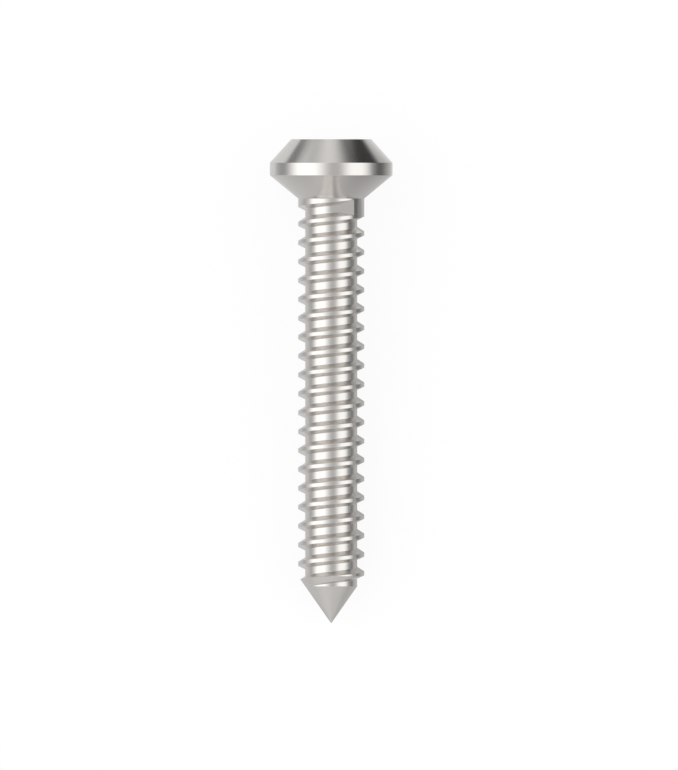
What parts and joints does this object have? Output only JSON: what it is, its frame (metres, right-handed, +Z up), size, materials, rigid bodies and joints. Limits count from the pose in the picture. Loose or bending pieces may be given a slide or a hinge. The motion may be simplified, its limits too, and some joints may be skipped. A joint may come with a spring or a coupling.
{
  "type": "orthopedic bone screw",
  "caption": "Fully threaded bone screw with a double-bevelled round head, internal hexagon drive and plain pointed tip, lying on its side.",
  "frame": {"origin": "centre of the flat top face of the head, in the plane of that face", "axes": "+Z up as the screw lies at rest; the screw's axis is in the YZ plane, head end towards +Y, and dips 4.1 degrees to the tip; +X to the right seen from above with the head away from the viewer"},
  "size_m": [0.0064, 0.0258, 0.0066],
  "materials": {
    "implant_steel": "polished implant steel with fine turning marks"
  },
  "bodies": {
    "root": {"bone_screw": "implant_steel"}
  },
  "joints": []
}
